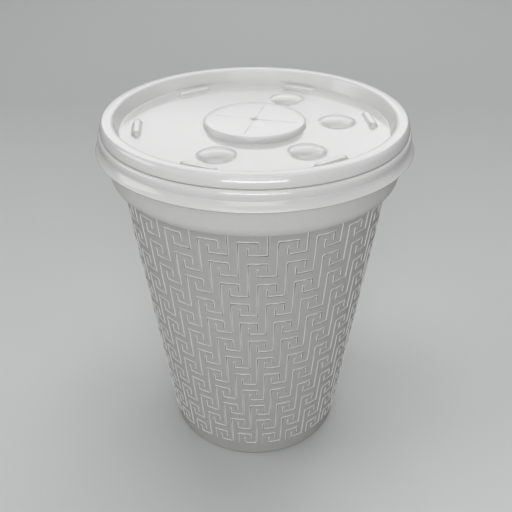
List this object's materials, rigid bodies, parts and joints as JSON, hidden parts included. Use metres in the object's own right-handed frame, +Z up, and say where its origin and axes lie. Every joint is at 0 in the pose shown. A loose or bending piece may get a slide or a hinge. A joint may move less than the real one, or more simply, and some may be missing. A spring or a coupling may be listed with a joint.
{
  "type": "foam cup with lid",
  "caption": "Tapered foam cup with a raised meander on its wall and a flat press-on drink lid with a straw cross, buttons and stacking lugs.",
  "frame": {"origin": "on the ground, at the cup's axis", "axes": "+Z up along the cup's axis, -Y towards the side that the picture shows"},
  "size_m": [0.096, 0.096, 0.1136],
  "materials": {
    "foam": "moulded foam with a fine skin, dull",
    "lid_sheet": "thermoformed white sheet, satin gloss"
  },
  "bodies": {
    "cup": {"cup": "foam"},
    "lid": {"lid": "lid_sheet"}
  },
  "joints": [
    {"name": "lid_lift", "type": "slide", "parent": "cup", "child": "lid", "axis": [0, 0, 1], "range_m": [0, 0.06]}
  ]
}
